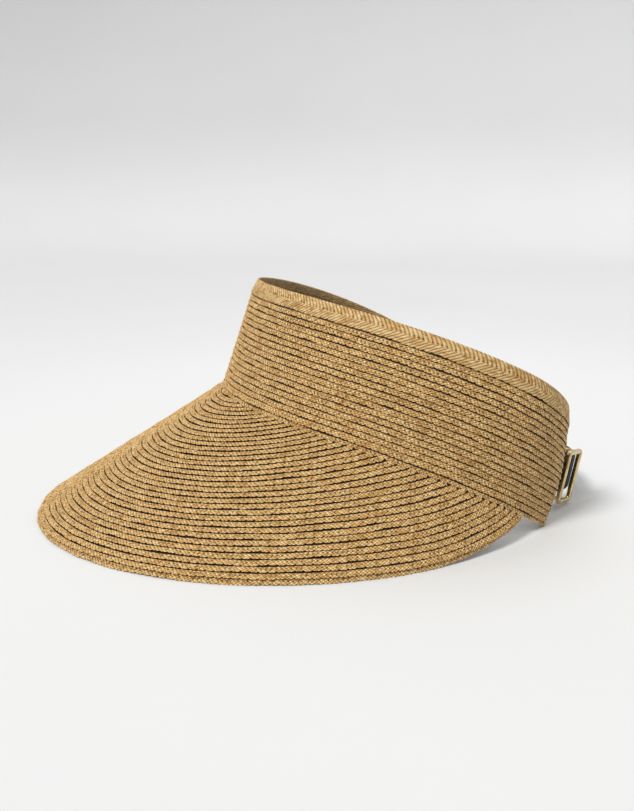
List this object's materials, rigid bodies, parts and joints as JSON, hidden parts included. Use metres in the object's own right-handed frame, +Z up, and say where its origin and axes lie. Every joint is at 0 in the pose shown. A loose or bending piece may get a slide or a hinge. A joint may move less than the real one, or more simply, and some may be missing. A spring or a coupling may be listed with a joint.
{
  "type": "sun visor",
  "caption": "Open-crown sun visor of lapped, sewn straw braid with a wide sloping brim and an adjustable strap with slide buckle.",
  "frame": {"origin": "centre of the bounding box's base: the surface that the visor rests on", "axes": "+Z up, -Y to the front of the brim, +X to the wearer's left"},
  "size_m": [0.237, 0.2864, 0.1137],
  "materials": {
    "straw": "natural straw plait, dry and slightly glossy on the fibres",
    "straw_binding": "row ends of straw plait, turned under and sewn flat",
    "sweatband_cloth": "soft cotton twill tape",
    "seam_tape_cloth": "cotton tape",
    "webbing": "black ribbed webbing",
    "thread": "sewing thread",
    "gold_metal": "polished pale gold plating"
  },
  "bodies": {
    "root": {"brim_rows_01_02": "straw", "brim_rows_03_04": "straw", "brim_rows_05_06": "straw", "brim_rows_07_08": "straw", "brim_rows_09_10": "straw", "brim_rows_11_12": "straw", "brim_rows_13_14": "straw", "brim_rows_15_16": "straw", "brim_rows_17_18": "straw", "brim_rows_19_20": "straw", "brim_rows_21_22": "straw", "brim_rows_23_24": "straw", "brim_rows_25_26": "straw", "brim_rows_27_28": "straw", "brim_rows_29_30": "straw", "brim_rows_31_32": "straw", "brim_rows_33_34": "straw", "seam_braid_lower": "straw", "seam_braid_upper": "straw", "band_row_16": "straw", "band_row_15": "straw", "band_row_14": "straw", "band_row_13": "straw", "band_row_12": "straw", "band_row_11": "straw", "band_row_10": "straw", "band_row_09": "straw", "band_row_08": "straw", "band_row_07": "straw", "band_row_06": "straw", "band_row_05": "straw", "band_row_04": "straw", "band_row_03": "straw", "band_row_02": "straw", "band_row_01": "straw", "top_edge_braid": "straw", "sweatband": "sweatband_cloth", "inner_seam_tape": "seam_tape_cloth"},
    "left_wing": {"left_wing_rows": "straw", "left_end_binding": "straw_binding", "keeper_tab": "webbing", "tab_stitching": "thread"},
    "right_wing": {"right_wing_rows": "straw", "right_end_binding": "straw_binding", "strap": "webbing", "strap_stitching": "thread"},
    "buckle": {"buckle_frame": "gold_metal", "buckle_centre_bar": "gold_metal"}
  },
  "joints": [
    {"name": "right_wing_flex", "type": "hinge", "parent": "root", "child": "right_wing", "pos_m": [-0.0895, 0.08227, 0.0415], "axis": [0, -0.2079, -0.9781], "range_deg": [-3, 4], "stiffness_Nm_per_rad": 0.15},
    {"name": "left_wing_flex", "type": "hinge", "parent": "root", "child": "left_wing", "pos_m": [0.0895, 0.08227, 0.0415], "axis": [0, 0.2079, 0.9781], "range_deg": [-3, 4], "stiffness_Nm_per_rad": 0.15},
    {"name": "buckle_tilt", "type": "hinge", "parent": "left_wing", "child": "buckle", "pos_m": [0.04474, 0.11681, 0.01691], "axis": [0, 0.2079, 0.9781], "range_deg": [-4, 4]}
  ],
  "couplings": [
    {"joint": "left_wing_flex", "follows": "right_wing_flex", "ratio": 1}
  ]
}
